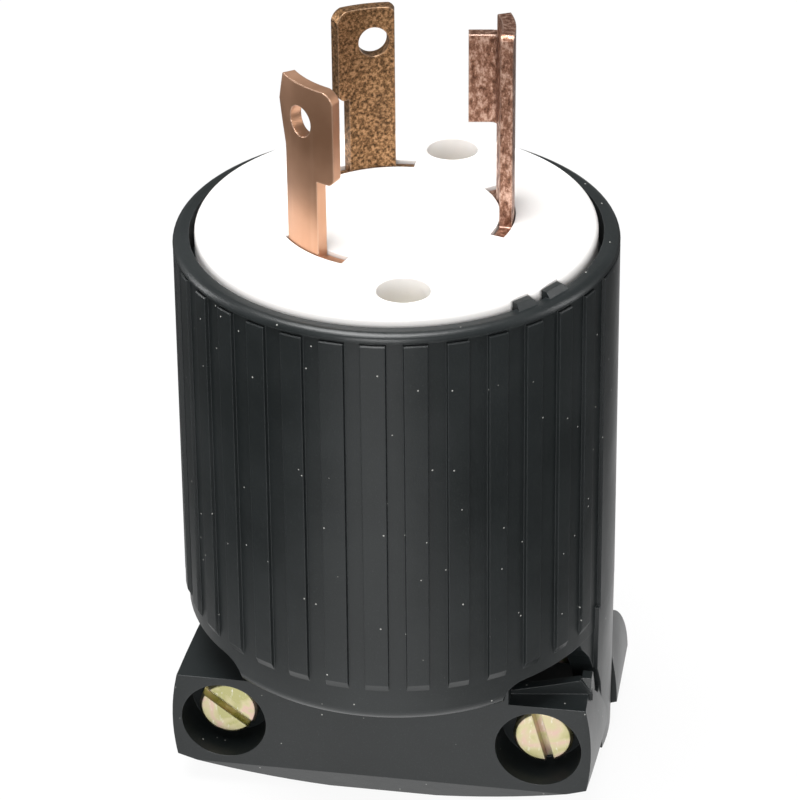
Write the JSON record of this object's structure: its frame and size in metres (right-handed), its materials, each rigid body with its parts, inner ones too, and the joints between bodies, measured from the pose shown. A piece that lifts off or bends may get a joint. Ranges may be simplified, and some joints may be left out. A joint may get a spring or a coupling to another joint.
{
  "type": "turn-lock power plug",
  "caption": "Turn-lock power plug: ribbed black nylon housing with cord clamp, white face, three arc-shaped hooked copper-coloured blades.",
  "frame": {"origin": "centre of the bounding box at the level of the clamp's lowest face, on the axis of the barrel", "axes": "+Z along the axis of the barrel towards the tips of the blades, -Y towards the heads of the clamp screws, +X to the right seen from the front"},
  "size_m": [0.0592, 0.0578, 0.1053],
  "materials": {
    "black_nylon": "semi-gloss moulded black",
    "retainer_black": "matte moulded black",
    "white_nylon": "smooth white nylon",
    "blade_copper_clean": "smooth light copper-brass",
    "blade_copper_dark": "dark speckled brass",
    "blade_copper_mottled": "mottled copper-brass",
    "brass": "plain brass",
    "green_screw": "green passivated",
    "zinc_steel": "yellow zinc plated"
  },
  "bodies": {
    "root": {"housing": "black_nylon", "face_plate": "white_nylon", "blade_carrier": "white_nylon", "terminal_retainer": "retainer_black", "line_blade_x": "blade_copper_clean", "line_blade_y": "blade_copper_dark", "ground_blade": "blade_copper_mottled", "pressure_plate_x": "brass", "pressure_plate_y": "brass", "pressure_plate_ground": "brass", "terminal_screw_x": "brass", "terminal_screw_y": "brass", "terminal_screw_ground": "green_screw", "assembly_screw_front": "zinc_steel", "assembly_screw_rear": "zinc_steel", "assembly_insert_front": "brass", "assembly_insert_rear": "brass", "retainer_screw_left": "zinc_steel", "retainer_screw_right": "zinc_steel", "clamp_jaw": "black_nylon", "clamp_screw_left": "zinc_steel", "clamp_screw_right": "zinc_steel", "clamp_nut_left": "zinc_steel", "clamp_nut_right": "zinc_steel"}
  },
  "joints": []
}
